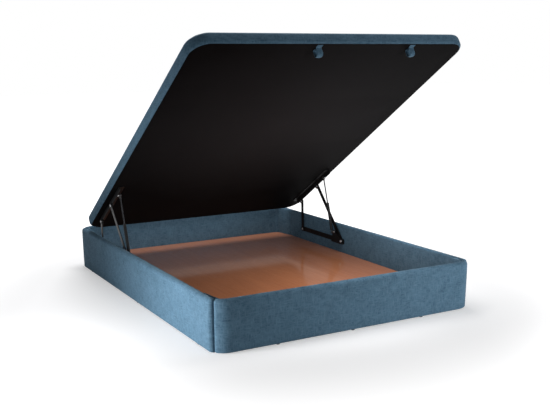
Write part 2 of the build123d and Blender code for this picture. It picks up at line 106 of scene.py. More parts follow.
# Padding of the walls: crown of each face, slow swells, puckers beside the seams
CROWN_OUT = 1.8
CROWN_IN = 0.3
CROWN_REACH = 40.0
WAVE = 0.55
WAVE_LONG = 170.0
WAVE_SHORT = 44.0
SHORT_SHARE = 0.35
PUCKER = 0.45
PUCKER_START = 5.0
PUCKER_REACH = 22.0
PUCKER_PITCH = 27.0
PUCKER_DRIFT = 3
DRIFT_HIGH = 60
DRIFT_LONG = 300
WALL_TOP_SHARE = 0.6

# Padding of the corner wedges, fullest nearer their thick side
POST_CROWN = 5.0
POST_LEAN = 1.7
POST_EDGE_R = 3.0
POST_PLAN_R = 1.1
POST_FACE = 1.5
POST_WAVE = 0.4
POST_WAVE_LONG = 70

# Padding of the platform's border, pleated round its corners and sewn together in joins
BORDER_CROWN = 1.6
BORDER_WAVE = 0.45
BORDER_WAVE_LONG = 120
BORDER_SEAMS = 3
SEAM_DEEP = 1.3
SEAM_REACH = 3.5
PLEAT = 0.5
PLEAT_PITCH = 7.5
BORDER_TOP_SHARE = 0.5

# Lining: sag between the tubes, ripples, and pulls along its stapled edge
SAG = 2.2
SAG_REACH = 90
RIPPLE = 0.5
RIPPLE_LONG = 240
RIPPLE_REACH = 60
PULL = 0.35
PULL_START = 6
PULL_REACH = 26
PULL_PITCH = 13

# Top cloth: rise over the pad, swells, and the dip along its edge
TOP_RISE = 3.2
TOP_REACH = 60
TOP_WAVE = 0.5
TOP_WAVE_LONG = 260
TOP_WAVE_REACH = 50
TOP_DIP = 2.2
DIP_REACH = 4.0
TOP_FACE = LID_THICK - 0.8
TOP_UNDER = LID_THICK - 4.5

# How a hanging strap cups across its width and sways
STRAP_CUP = 1.3
STRAP_SWAY = 1.5
STRAP_HANG = 30

# Finishes: the lining carries a painted highlight, lighter round a point, in metres, and the rail screws
# are black
LINING_HIGHLIGHT_MIDDLE = (0.05, -0.234, 0.94)
BLACK_SCREWS = "_rail_screws"

# Studio, in metres and watts: the floor's glow rises from near the object outwards
FLOOR_HALF = 30.0
GLOW_NEAR = 0.45
GLOW_START = 1.25
GLOW_END = 2.3
WORLD_LIGHT = 0.17

# Lamps: name, place, target, width, depth, watts and beam spread in degrees
LAMPS = (
    ("left", (-2.4, -0.72, 0.3), (-0.75, -0.72, 0.1), 0.5, 0.5, 12, 80),
    ("front", (1.9, -3.7, 0.5), (0.6, -1.0, 0.42), 0.9, 0.9, 10, 56),
    ("top", (0.3, 0.8, 3.4), (0.0, -0.3, 0.0), 2.0, 2.0, 95, 180),
    ("inside", (0.35, -0.7, 0.95), (0.1, -0.35, 0.0), 0.9, 0.3, 6.5, 130),
)

# Camera at the photograph's viewing angle: metres, radians and pixels of the photograph
CAMERA_PLACE = (-2.21942, -4.14377, 1.26661)
CAMERA_YAW = 0.5009
CAMERA_PITCH = 0.2676
CAMERA_ROLL = -0.0093
FOCAL_PIXELS = 828.32
IMAGE_WIDTH = 550
IMAGE_HEIGHT = 412
CENTRE_PIXEL = (264.11, 288.08)
SENSOR = 36.0

LID = Matrix.Translation((0, RAISED_Y, RAISED_Z)) @ Matrix.Rotation(math.radians(-LID_ANGLE), 4, "X")


# Meshes


def piece(name, points, faces, material, body, on_lid=False):
    """A smooth-shaded object from points in millimetres, riding on a body."""
    if on_lid:
        points = [LID @ Vector(p) for p in points]
    mesh = bpy.data.meshes.new(name)
    mesh.from_pydata([Vector(p) * MM for p in points], [], faces)
    mesh.update()
    mesh.polygons.foreach_set("use_smooth", [True] * len(mesh.polygons))
    mesh.materials.append(material)
    obj = bpy.data.objects.new(name, mesh)
    bpy.context.scene.collection.objects.link(obj)
    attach(obj, body)
    return obj


def skin(loops, closed=False):
    """Points and quads over a row of equal closed loops; open ends are capped."""
    count = len(loops[0])
    points = [p for loop in loops for p in loop]
    faces = []
    for i in range(len(loops) if closed else len(loops) - 1):
        a = i * count
        b = (i + 1) % len(loops) * count
        for j in range(count):
            k = (j + 1) % count
            faces.append((a + j, b + j, b + k, a + k))
    if not closed:
        faces.append(tuple(range(count)))
        faces.append(tuple(range(len(points) - 1, len(points) - 1 - count, -1)))
    return points, faces


def net(rows):
    """Points and quads of an open sheet given as equal rows."""
    count = len(rows[0])
    points = [p for row in rows for p in row]
    faces = []
    for i in range(len(rows) - 1):
        for j in range(count - 1):
            a = i * count + j
            faces.append((a, a + 1, a + count + 1, a + count))
    return points, faces


def spread(low, high, count):
    """Evenly spaced values from low to high."""
    return [low + (high - low) * i / count for i in range(count + 1)]


def arc(cx, cy, radius, start, end, count):
    """Points and outward normals on an arc; angles in degrees."""
    found = []
    for turn in spread(math.radians(start), math.radians(end), count):
        c = math.cos(turn)
        s = math.sin(turn)
        found.append((cx + radius * c, cy + radius * s, c, s))
    return found


def rise(distance, reach):
    """How far something has come up, from 0 to 1, at a distance from where it is held."""
    return 1 - math.exp(-distance / reach)


def clamped(share):
    """A share kept from 0 to 1."""
    return min(max(share, 0.0), 1.0)


def waves(x, y, z, long=WAVE_LONG):
    """A slow uneven swell of the padding, with a finer one on it; about -1 to 1."""
    slow = noise.noise(Vector((x / long, y / long, z / long)))
    fine = noise.noise(Vector((x / WAVE_SHORT + 7, y / WAVE_SHORT, z / WAVE_SHORT + 3)))
    return slow + SHORT_SHARE * fine


# Padded covers of the box


def wall_profile(edge):
    """Closed outline of a wall across its thickness, at a distance from its nearer end."""
    near = end_inset(edge, OUTER_R)
    far = WALL - end_inset(edge, INNER_R)
    low = HEM
    high = RIM - end_inset(edge, END_TOP_R)
    wide = far - near
    outer_r = min(OUTER_R - near, OUTER_SHARE * wide) + SLIVER
    inner_r = min(INNER_R - WALL + far, (1 - OUTER_SHARE) * wide) + SLIVER
    low_r = min(HEM_R, HEM_SHARE * wide) + SLIVER
    outline = arc(near + low_r, low + low_r, low_r, 270, 180, 4)
    outline += [(near, z, -1, 0) for z in spread(low + low_r, high - outer_r, WALL_RISE)[1:-1]]
    outline += arc(near + outer_r, high - outer_r, outer_r, 180, 90, 8)
    outline += arc(far - inner_r, high - inner_r, inner_r, 90, 0, 6)
    outline += [(far, z, 1, 0) for z in reversed(spread(low + low_r, high - inner_r, WALL_RISE)[1:-1])]
    outline += arc(far - low_r, low + low_r, low_r, 0, -90, 4)
    return outline


def end_inset(distance, radius):
    """How far an end with that radius draws in at a distance from its tip."""
    if distance >= radius:
        return 0.0
    return radius - math.sqrt(radius**2 - (radius - distance) ** 2)


def stations(long):
    """Distances along a wall, close together at its rounded ends."""
    tip = [0.0, 0.4, 1.2, 2.5, 4.5, 7.0, 10.0, 13.5, 17.0, 20.0, 26.0]
    middle = spread(tip[-1], long - tip[-1], int(long / STEP))
    return tip + middle[1:-1] + [long - d for d in reversed(tip)]


def wall_swell(normal_out, height, along, long, place):
    """How far the padding stands off the plain wall at one point."""
    crown = math.sin(math.pi * clamped((height - HEM) / (RIM - HEM))) ** 0.8
    edge = min(along, long - along)
    swell = (CROWN_OUT if normal_out < 0 else CROWN_IN) * crown * abs(normal_out) * rise(edge, CROWN_REACH)
    swell += WAVE * waves(*place) * (0.3 + 0.7 * crown) * (1.0 if normal_out < 0.5 else 0.3)
    drift = Vector((height / DRIFT_HIGH, place[0] / DRIFT_LONG, place[1] / DRIFT_LONG))
    phase = PUCKER_DRIFT * noise.noise(drift)
    tuck = math.exp(-edge / PUCKER_REACH) * rise(edge, PUCKER_START)
    swell += PUCKER * tuck * math.sin(math.tau * height / PUCKER_PITCH + phase)
    return swell


def padded_wall(name, plan, long, material, node):
    """A padded wall cover that follows plan(along, offset) and stands for a CAD node."""
    loops = []
    for along in stations(long):
        loop = []
        for offset, height, side, up in wall_profile(min(along, long - along)):
            x, y = plan(along, offset)
            swell = wall_swell(side, height, along, long, (x, y, height))
            x, y = plan(along, offset + side * swell)
            loop.append((x, y, height + up * swell * WALL_TOP_SHARE))
        loops.append(loop)
    obj = piece(name, *skin(loops), material, "base")
    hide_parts(node)


def bend_start(radius):
    """Angle at which the seam plane cuts a bend of the end wall."""
    return math.asin((SEAM_Y + SEAM_GAP / 2 - CENTRE_Y) / radius)


BEND_MIDDLE = CORNER_R - WALL / 2
BEND_LONG = (math.pi / 2 - bend_start(BEND_MIDDLE)) * BEND_MIDDLE
END_LONG = 2 * (BEND_LONG + CENTRE_X)
SIDE_LONG = 2 * (SEAM_Y - SEAM_GAP / 2)


def end_plan(along, offset):
    """Plan point on the foot wall, from its right seam round the front to its left seam."""
    if along > END_LONG / 2:
        x, y = end_plan(END_LONG - along, offset)
        return -x, y
    if along >= BEND_LONG:
        return CENTRE_X - (along - BEND_LONG), offset - LENGTH / 2
    radius = CORNER_R - offset
    start = bend_start(radius)
    turn = start + (math.pi / 2 - start) * along / BEND_LONG
    return CENTRE_X + radius * math.cos(turn), -CENTRE_Y - radius * math.sin(turn)


def head_plan(along, offset):
    """Plan point on the head wall."""
    x, y = end_plan(along, offset)
    return x, -y


def right_plan(along, offset):
    """Plan point on the right wall."""
    return WIDTH / 2 - offset, along - SIDE_LONG / 2


def left_plan(along, offset):
    """Plan point on the left wall."""
    return offset - WIDTH / 2, along - SIDE_LONG / 2


def turned(outline, radius, count):
    """A closed polygon with every corner rounded, as points."""
    found = []
    for i, corner in enumerate(outline):
        here = Vector(corner)
        before = (Vector(outline[i - 1]) - here).normalized()
        after = (Vector(outline[(i + 1) % len(outline)]) - here).normalized()
        half = before.angle(after) / 2
        reach = radius / math.tan(half)
        a = here + before * reach
        b = here + after * reach
        for t in spread(0, 1, count):
            found.append(a * (1 - t) ** 2 + here * 2 * t * (1 - t) + b * t**2)
    return found


def resample(outline, count):
    """Evenly spaced points on a closed outline."""
    closed = list(outline) + [outline[0]]
    steps = [(closed[i + 1] - closed[i]).length for i in range(len(closed) - 1)]
    total = sum(steps)
    found = []
    i = 0
    walked = 0.0
    for k in range(count):
        target = total * k / count
        while walked + steps[i] < target:
            walked += steps[i]
            i += 1
        found.append(closed[i].lerp(closed[i + 1], (target - walked) / steps[i]))
    return found


def post_outline():
    """Plan outline of the wedge at the right rear, over the join of two walls."""
    gap = SEAM_GAP / 2
    bend = CORNER_R - WALL - gap
    start = math.degrees(math.asin((SEAM_Y - 2 * gap - CENTRE_Y) / bend))
    curve = [(x, y) for x, y, _, _ in arc(CENTRE_X, CENTRE_Y, bend, start, POST_BEND_END, 3)]
    tip_y = LENGTH / 2 - WALL - POST_Y
    return curve + [
        (WALL_FACE - POST_X, tip_y),
        (WALL_FACE - gap, tip_y),
        (WALL_FACE - gap, curve[0][1]),
    ]


def build_posts(material):
    """Padded wedges in the four corners, their long faces crowned."""
    corners = [Vector(corner) for corner in post_outline()]
    heel = corners[3]
    tip = corners[4]
    out = Vector((heel.y - tip.y, tip.x - heel.x)).normalized()
    out = out if out.x < 0 else -out
    plan = resample(turned(corners, POST_PLAN_R, 3), 110)
    levels = [(z, 0.0) for z in spread(POST_LOW, POST_TOP - POST_EDGE_R, 20)]
    for _, _, c, s in arc(0, 0, 1, 0, 90, 5)[1:]:
        levels.append((POST_TOP - POST_EDGE_R * (1 - s), POST_EDGE_R * (1 - c)))
    points = []
    faces = []
    for side_x in (-1, 1):
        for side_y in (-1, 1):
            loops = []
            for z, inset in levels:
                loop = []
                for p in plan:
                    along = (p - tip).dot(heel - tip) / (heel - tip).length_squared
                    depth = clamped(((p - tip).dot(out) + POST_FACE) / POST_FACE)
                    face = depth * math.sin(math.pi * clamped(along) ** POST_LEAN) ** 0.8
                    share = (z - POST_LOW) / (POST_TOP - POST_LOW)
                    swell = POST_CROWN * face * math.sin(math.pi * share) ** 0.6
                    swell += POST_WAVE * face * waves(p.x * side_x, p.y * side_y, z, POST_WAVE_LONG)
                    swell -= inset * depth * face
                    q = p + out * swell
                    loop.append((q.x * side_x, q.y * side_y, z))
                loops.append(loop if side_x * side_y > 0 else loop[::-1])
            more, quads = skin(loops)
            base = len(points)
            points += more
            faces += [tuple(base + v for v in quad) for quad in quads]
    obj = piece("corner_post_covers", points, faces, material, "base")
    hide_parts("corner_posts")


# Platform cloth


def lid_rim():
    """Stations round the platform's outline: place, outward normal and distance walked."""
    found = []
    walked = 0.0
    half = WIDTH / 2 - LID_CORNER_R
    ends = (-LID_CORNER_R, LID_CORNER_R - LENGTH)
    quarter = math.pi / 2 * LID_CORNER_R
    corners = ((half, ends[0], 0), (-half, ends[0], 90), (-half, ends[1], 180), (half, ends[1], 270))
    for i, (cx, cy, start) in enumerate(corners):
        bend = arc(cx, cy, LID_CORNER_R, start, start + 90, 14)
        for k, (x, y, c, s) in enumerate(bend):
            found.append((x, y, c, s, walked + quarter * k / 14))
        walked += quarter
        nx, ny, turn = corners[(i + 1) % 4]
        end = arc(nx, ny, LID_CORNER_R, turn, turn, 1)[0]
        run = math.hypot(end[0] - bend[-1][0], end[1] - bend[-1][1])
        count = int(run / STEP)
        for k in range(1, count):
            t = k / count
            x = bend[-1][0] + (end[0] - bend[-1][0]) * t
            y = bend[-1][1] + (end[1] - bend[-1][1]) * t
            found.append((x, y, bend[-1][2], bend[-1][3], walked + run * t))
        walked += run
    return found


def border_profile():
    """Outline of the border from under the lining, round the side, to under the top cloth."""
    r = LID_EDGE_R
    outline = [(19.0, 1.9, 0, -1), (15.0, 1.5, 0, -1)]
    for x, y, c, s in arc(r, r, r, 252, 180, 8):
        outline.append((x, y, c, s))
    outline += [(0.0, n, -1, 0) for n in spread(r, LID_THICK - r, 6)[1:-1]]
    for x, y, c, s in arc(r, LID_THICK - r, r, 180, 90, 8):
        outline.append((x, y, c, s))
    outline += [(TOP_INSET, LID_THICK - 0.6, 0, 1), (20.0, LID_THICK - 2.6, 0, 1)]
    return outline


def build_border(material):
    """Padded border of the platform, crowned on its side, with sewn joins in the band."""
    rim = lid_rim()
    total = rim[-1][4] + STEP
    quarter = math.pi / 2 * LID_CORNER_R
    rear_middle = quarter + (WIDTH / 2 - LID_CORNER_R)
    seams = [(rear_middle + total * k / BORDER_SEAMS) % total for k in range(BORDER_SEAMS)]
    loops = []
    for x, y, c, s, walked in rim:
        gap = min(abs(walked - seam) for seam in seams)
        groove = SEAM_DEEP * math.exp(-((gap / SEAM_REACH) ** 2))
        bend = abs(c * s) * 2
        outer = []
        inner = []
        for inset, n, side, up in border_profile():
            crown = math.sin(math.pi * clamped(n / LID_THICK)) ** 1.2
            wave = BORDER_WAVE * waves(x, y, n, BORDER_WAVE_LONG)
            swell = BORDER_CROWN * crown + wave * (0.25 + crown) - groove * (0.3 + crown)
            pleat = math.sin(walked / PLEAT_PITCH) * bend * (1 - crown)
            swell += PLEAT * pleat
            if inset > LINING_INSET + 2 and abs(up) > 0.5:
                swell = 0.0
            a = inset + side * swell
            h = n + up * swell * BORDER_TOP_SHARE
            outer.append((x - c * a, y - s * a, h))
            a -= side * CLOTH
            h -= up * CLOTH
            inner.append((x - c * a, y - s * a, h))
        loops.append(outer + inner[::-1])
    obj = piece("platform_border_cover", *skin(loops, closed=True), material, "platform", on_lid=True)
    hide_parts("platform_border")


def lid_half_width(y, inset):
    """Half the platform's width at a distance from its rear edge, inside an inset."""
    r = LID_CORNER_R - inset
    near = min(-inset - y, LENGTH - inset + y)
    if near >= r:
        return WIDTH / 2 - inset
    return WIDTH / 2 - LID_CORNER_R + math.sqrt(max(r**2 - (r - near) ** 2, 0.0))


def lid_rows(inset, across, along):
    """Rows of (x, y) over the platform's outline; x keeps its share of the width."""
    r = LID_CORNER_R - inset
    ends = [r * (1 - math.cos(t)) for t in spread(0, math.pi / 2, 10)]
    ends[0] = 0.02
    middle = spread(ends[-1], LENGTH - 2 * inset - ends[-1], along)
    downs = ends + middle[1:-1] + [LENGTH - 2 * inset - d for d in reversed(ends)]
    shares = [math.sin(t) for t in spread(-math.pi / 2, math.pi / 2, across)]
    rows = []
    for down in downs:
        y = -inset - down
        half = lid_half_width(y, inset)
        rows.append([(half * share, y) for share in shares])
    return rows


def edge_distance(x, y, inset):
    """Distance from the platform cloth's nearest edge."""
    return min(WIDTH / 2 - inset - abs(x), -inset - y, LENGTH - inset + y)


def lining_height(x, y):
    """Sag of the lining between the tubes that hold it."""
    edge = edge_distance(x, y, LINING_INSET)
    held = min([abs(y - tube) for tube in CROSS_TUBES] + [max(edge - TUBE_WIDE, 0.0)])
    sag = SAG * rise(held, SAG_REACH)
    ripple = RIPPLE * waves(x, y, 0, RIPPLE_LONG) * rise(held, RIPPLE_REACH)
    pull = PULL * math.exp(-edge / PULL_REACH) * math.sin((x + y) / PULL_PITCH) * rise(edge, PULL_START)
    return LINING_LEVEL - sag + ripple - abs(pull)


def build_lining(material):
    """Thin black lining under the platform, stretched over the tubes."""
    rows = [[(x, y, lining_height(x, y)) for x, y in row] for row in lid_rows(LINING_INSET, 90, 110)]
    obj = piece("platform_lining_cloth", *net(rows), material, "platform", on_lid=True)
    thick = obj.modifiers.new("cloth", "SOLIDIFY")
    thick.thickness = LINING_THICK * MM
    thick.offset = 0
    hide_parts("platform_lining")


def build_top(material):
    """Padded mesh top of the platform: a crowned closed form over the board."""
    high = []
    low = []
    for row in lid_rows(TOP_INSET, 80, 100):
        top = []
        under = []
        for x, y in row:
            edge = edge_distance(x, y, TOP_INSET)
            swell = TOP_RISE * rise(edge, TOP_REACH)
            swell += TOP_WAVE * waves(x, y, 0, TOP_WAVE_LONG) * rise(edge, TOP_WAVE_REACH)
            dip = TOP_DIP * math.exp(-((edge / DIP_REACH) ** 2))
            top.append((x, y, TOP_FACE + swell - dip))
            under.append((x, y, TOP_UNDER))
        high.append(top)
        low.append(under)
    points, faces = net(high)
    more, under = net(low)
    base = len(points)
    points += more
    faces += [tuple(base + v for v in reversed(quad)) for quad in under]
    count = len(high[0])
    rim = list(range(count))
    rim += [i * count + count - 1 for i in range(1, len(high))]
    rim += [(len(high) - 1) * count + j for j in range(count - 2, -1, -1)]
    rim += [i * count for i in range(len(high) - 2, 0, -1)]
    for i, a in enumerate(rim):
        b = rim[(i + 1) % len(rim)]
        faces.append((b, a, a + base, b + base))
    obj = piece("platform_mesh_top", points, faces, material, "platform", on_lid=True)
    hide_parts("platform_top", "platform_pad")


def strap_line():
    """Smooth points along the strap, from the corners and bend radii of its path."""
    corners = [Vector(p) for p in STRAP_PATH]
    line = [corners[0]]
    for i in range(1, len(corners) - 1):
        here = corners[i]
        before = (corners[i - 1] - here).normalized()
        after = (corners[i + 1] - here).normalized()
        half = before.angle(after) / 2
        reach = STRAP_RADII[i - 1] / math.tan(half)
        middle = here + (before + after).normalized() * (STRAP_RADII[i - 1] / math.sin(half))
        a = here + before * reach - middle
        b = here + after * reach - middle
        turn = a.angle_signed(b)
        for t in spread(0, 1, 10):
            c = math.cos(-turn * t)
            s = math.sin(-turn * t)
            line.append(middle + Vector((a.x * c - a.y * s, a.x * s + a.y * c)))
    line.append(corners[-1])
    return line


def build_strap(side, x, material):
    """Fabric pull strap: a soft flat band bent to a loop."""
    line = strap_line()
    loops = []
    for i, p in enumerate(line):
        before = line[max(i - 1, 0)]
        after = line[min(i + 1, len(line) - 1)]
        ahead = (after - before).normalized()
        out = Vector((ahead.y, -ahead.x))
        loose = min(-p.y / STRAP_HANG, 1.0)
        loop = []
        for face, turns in ((1, spread(0, math.pi, 12)), (-1, spread(math.pi, 2 * math.pi, 12)[1:-1])):
            for across in [math.cos(t) for t in turns]:
                half = STRAP_THICK / 2 * max(1 - across**6, 0.12)
                cup = STRAP_CUP * loose * across**2
                loop.append((across, face * half - cup))
        sway = STRAP_SWAY * loose * math.sin(i / 5)
        ring = []
        for across, high in loop:
            q = p + out * high
            place = x + sway + across * STRAP_WIDE / 2
            ring.append((place, STRAP_Y + q.x, q.y - STRAP_THICK / 2))
        loops.append(ring)
    strap = piece(side + "_pull_strap_band", *skin(loops), material, "platform", on_lid=True)
    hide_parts(side + "_pull_strap")


# Materials


class Shader:
    """A node material around one Principled shader."""

    def __init__(self, name, **sockets):
        self.material = bpy.data.materials.new(name)
        self.material.use_nodes = True
        self.nodes = self.material.node_tree.nodes
        self.links = self.material.node_tree.links
        self.shader = self.nodes["Principled BSDF"]
        self.place = self.nodes.new("ShaderNodeTexCoord").outputs["Object"]
        for socket, value in sockets.items():
            self.shader.inputs[socket.replace("_", " ")].default_value = value

    def link(self, source, target):
        """Join an output to an input."""
        self.links.new(source, target)

    def stretched(self, scale):
        """Coordinates scaled by (x, y, z), in repeats a metre."""
        node = self.nodes.new("ShaderNodeMapping")
        node.inputs["Scale"].default_value = scale
        self.link(self.place, node.inputs["Vector"])
        return node.outputs["Vector"]

    def noise(self, scale, detail=3.0, rough=0.5, warp=0.0):
        """Noise from 0 to 1, repeats a metre given for each axis."""
        node = self.nodes.new("ShaderNodeTexNoise")
        node.inputs["Scale"].default_value = 1.0
        node.inputs["Detail"].default_value = detail
        node.inputs["Roughness"].default_value = rough
        node.inputs["Distortion"].default_value = warp
        self.link(self.stretched(scale), node.inputs["Vector"])
        return node.outputs["Fac"]

    def cells(self, scale, uneven=1.0):
        """Distances and colours of a cell pattern, in repeats a metre."""
        node = self.nodes.new("ShaderNodeTexVoronoi")
        node.inputs["Scale"].default_value = 1.0
        node.inputs["Randomness"].default_value = uneven
        self.link(self.stretched(scale), node.inputs["Vector"])
        return node.outputs["Distance"], node.outputs["Color"]

    def math(self, operation, a, b):
        """A sum, product or other operation on two values or sockets."""
        node = self.nodes.new("ShaderNodeMath")
        node.operation = operation
        for socket, value in zip(node.inputs, (a, b)):
            if isinstance(value, (int, float)):
                socket.default_value = value
            else:
                self.link(value, socket)
        return node.outputs[0]

    def ramp(self, source, stops):
        """Colours or greys at places from 0 to 1."""
        node = self.nodes.new("ShaderNodeValToRGB")
        ramp = node.color_ramp
        while len(ramp.elements) < len(stops):
            ramp.elements.new(0.5)
        for element, (place, colour) in zip(ramp.elements, stops):
            element.position = place
            element.color = colour if hasattr(colour, "__len__") else (colour, colour, colour, 1)
        self.link(source, node.inputs["Fac"])
        return node.outputs["Color"]

    def mix(self, share, a, b):
        """Mix of two colours by a share."""
        node = self.nodes.new("ShaderNodeMix")
        node.data_type = "RGBA"
        for name, value in (("Factor_Float", share), ("A_Color", a), ("B_Color", b)):
            socket = next(s for s in node.inputs if s.identifier == name)
            if isinstance(value, (int, float, tuple)):
                socket.default_value = value
            else:
                self.link(value, socket)
        return next(s for s in node.outputs if s.identifier == "Result_Color")

    def bump(self, height, strength, distance, below=None):
        """A bump of that depth in metres, on top of another bump."""
        node = self.nodes.new("ShaderNodeBump")
        node.inputs["Strength"].default_value = strength
        node.inputs["Distance"].default_value = distance
        self.link(height, node.inputs["Height"])
        if below is not None:
            self.link(below, node.inputs["Normal"])
        return node.outputs["Normal"]

    def finish(self, colour, rough, normal):
        """Join the finished patterns to the shader; the material."""
        for socket, source in (("Base Color", colour), ("Roughness", rough), ("Normal", normal)):
            self.link(source, self.shader.inputs[socket])
        return self.material


def tone(red, green, blue):
    """A colour given as screen values from 0 to 255."""
    linear = [((v / 255 + 0.055) / 1.055) ** 2.4 if v > 10 else v / 255 / 12.92 for v in (red, green, blue)]
    return (*linear, 1.0)


def chenille():
    """Soft blue upholstery with short mottled strokes both ways and a slight nap."""
    s = Shader("blue_chenille", Specular_IOR_Level=0.25, Sheen_Weight=0.32, Sheen_Roughness=0.4)
    s.shader.inputs["Sheen Tint"].default_value = tone(170, 204, 224)
    upright = s.noise((150, 150, 34), 3, 0.6, 0.4)
    lying = s.noise((32, 32, 160), 3, 0.6, 0.4)
    cloud = s.noise((5, 5, 7), 3, 0.55)
    worn = s.ramp(s.noise((17, 17, 24), 4, 0.65, 0.6), [(0.36, 0.0), (0.66, 1.0)])
    strokes = s.math("MAXIMUM", upright, lying)
    marks = s.ramp(strokes, [(0.42, 0.0), (0.74, 1.0)])
    base = s.ramp(cloud, [(0.25, tone(50, 80, 99)), (0.75, tone(66, 96, 117))])
    base = s.mix(s.math("MULTIPLY", worn, 0.4), base, tone(88, 123, 145))
    colour = s.mix(s.math("MULTIPLY", marks, 0.55), base, tone(104, 134, 154))
    gaps = s.ramp(strokes, [(0.3, 1.0), (0.5, 0.0)])
    colour = s.mix(s.math("MULTIPLY", gaps, 0.5), colour, tone(34, 60, 80))
    pile = s.noise((900, 900, 900), 2, 0.7)
    colour = s.mix(s.math("MULTIPLY", pile, 0.3), colour, tone(46, 72, 94))
    rough = s.ramp(strokes, [(0.3, 0.92), (0.8, 0.78)])
    rib = s.noise((520, 520, 1400), 2, 0.5)
    normal = s.bump(pile, 0.5, 0.0005)
    normal = s.bump(rib, 0.35, 0.0004, normal)
    normal = s.bump(strokes, 0.4, 0.0008, normal)
    return s.finish(colour, rough, normal)


def lining():
    """Smooth black non-woven lining, with a painted highlight lighter in the middle."""
    s = Shader("black_lining", Specular_IOR_Level=0.01)
    felt = s.noise((420, 420, 420), 3, 0.6)
    cloud = s.noise((3, 3, 3), 2, 0.5)
    dots, _ = s.cells((420, 420, 420))
    # Painted highlight: the black is mixed paler round a point in the middle, where light falls on the
    # lining
    away = s.nodes.new("ShaderNodeVectorMath")
    away.operation = "DISTANCE"
    away.inputs[1].default_value = LINING_HIGHLIGHT_MIDDLE
    s.link(s.place, away.inputs[0])
    painted_highlight = s.ramp(away.outputs["Value"], [(0.0, 1.0), (0.35, 0.66), (0.95, 0.0)])
    colour = s.ramp(cloud, [(0.3, (0.0038, 0.0036, 0.0039, 1)), (0.7, (0.0052, 0.005, 0.0053, 1))])
    colour = s.mix(painted_highlight, colour, (0.019, 0.0182, 0.0194, 1))
    rough = s.ramp(felt, [(0.3, 0.5), (0.7, 0.62)])
    normal = s.bump(felt, 0.3, 0.0003)
    normal = s.bump(dots, 0.3, 0.0002, normal)
    return s.finish(colour, rough, normal)


def spacer_mesh():
    """Breathable grey mesh: small round holes in a knitted ground."""
    s = Shader("grey_mesh", Sheen_Weight=0.15)
    distance, _ = s.cells((260, 260, 260), 0.15)
    cloud = s.noise((6, 6, 6), 3, 0.5)
    ground = s.ramp(cloud, [(0.3, tone(125, 127, 131)), (0.7, tone(133, 135, 139))])
    holes = s.ramp(distance, [(0.22, 0.0), (0.4, 1.0)])
    colour = s.mix(holes, tone(52, 54, 58), ground)
    yarn = s.noise((1500, 1500, 1500), 2, 0.6)
    rough = s.ramp(yarn, [(0.3, 0.75), (0.7, 0.92)])
    normal = s.bump(holes, 0.7, 0.0009)
    normal = s.bump(yarn, 0.3, 0.0002, normal)
    return s.finish(colour, rough, normal)


def melamine():
    """Glossy brown storage floor with a faint flowing grain and fine scuffs."""
    s = Shader("brown_melamine", Specular_IOR_Level=0.1, Coat_Weight=1.0, Coat_Roughness=0.1)
    grain = s.noise((26, 1.6, 4), 5, 0.62, 1.2)
    fibre = s.noise((420, 9, 40), 3, 0.6, 0.3)
    colour = s.ramp(grain, [(0.3, tone(176, 112, 78)), (0.7, tone(192, 125, 88))])
    colour = s.mix(s.math("MULTIPLY", fibre, 0.22), colour, tone(126, 76, 50))
    scuff = s.noise((60, 60, 60), 4, 0.7, 0.5)
    rough = s.ramp(scuff, [(0.35, 0.3), (0.75, 0.42)])
    normal = s.bump(fibre, 0.12, 0.0002)
    return s.finish(colour, rough, normal)


def particle_board():
    """Raw particle board: pressed chips of several tones."""
    s = Shader("particle_board")
    _, chips = s.cells((220, 220, 500))
    shade = s.nodes.new("ShaderNodeSeparateColor")
    s.link(chips, shade.inputs["Color"])
    colour = s.ramp(shade.outputs["Red"], [(0.1, tone(150, 118, 80)), (0.9, tone(205, 172, 128))])
    dust = s.noise((700, 700, 700), 3, 0.6)
    colour = s.mix(s.math("MULTIPLY", dust, 0.35), colour, tone(176, 146, 106))
    rough = s.ramp(dust, [(0.3, 0.82), (0.7, 0.95)])
    return s.finish(colour, rough, s.bump(dust, 0.5, 0.0005))


def pine():
    """Planed pine battens with long grain and a few darker streaks."""
    s = Shader("planed_pine")
    grain = s.noise((60, 60, 160), 4, 0.6, 1.5)
    fibre = s.noise((500, 500, 900), 2, 0.5)
    woods = [(0.35, tone(188, 148, 98)), (0.5, tone(208, 172, 122)), (0.72, tone(168, 122, 76))]
    colour = s.ramp(grain, woods)
    rough = s.ramp(fibre, [(0.3, 0.55), (0.7, 0.7)])
    return s.finish(colour, rough, s.bump(fibre, 0.3, 0.0003))


def powder_coat(name, shine):
    """Satin black powder coat with orange peel and rubbed patches."""
    s = Shader(name, Specular_IOR_Level=0.16)
    peel = s.noise((900, 900, 900), 2, 0.5)
    wear = s.noise((70, 70, 70), 4, 0.7, 0.6)
    colour = s.ramp(wear, [(0.45, (0.005, 0.005, 0.0055, 1)), (0.8, (0.014, 0.014, 0.015, 1))])
    rough = s.ramp(wear, [(0.3, shine), (0.8, shine + 0.16)])
    return s.finish(colour, rough, s.bump(peel, 0.25, 0.0002))


def metal(name, colour, dark, rough_low, rough_high, scale):
    """Bare metal with fine turning marks and dulled patches."""
    s = Shader(name, Metallic=1.0)
    marks = s.noise(scale, 3, 0.6)
    patch = s.noise((90, 90, 90), 3, 0.6)
    tint = s.mix(s.math("MULTIPLY", patch, 0.4), colour, dark)
    rough = s.ramp(marks, [(0.3, rough_low), (0.7, rough_high)])
    return s.finish(tint, rough, s.bump(marks, 0.15, 0.0001))


def nylon():
    """Moulded black nylon."""
    s = Shader("black_nylon")
    grain = s.noise((1200, 1200, 1200), 3, 0.6)
    patch = s.noise((80, 80, 80), 2, 0.5)
    colour = s.ramp(patch, [(0.3, (0.012, 0.012, 0.013, 1)), (0.7, (0.022, 0.022, 0.023, 1))])
    rough = s.ramp(grain, [(0.3, 0.5), (0.7, 0.66)])
    return s.finish(colour, rough, s.bump(grain, 0.4, 0.0002))


# Build

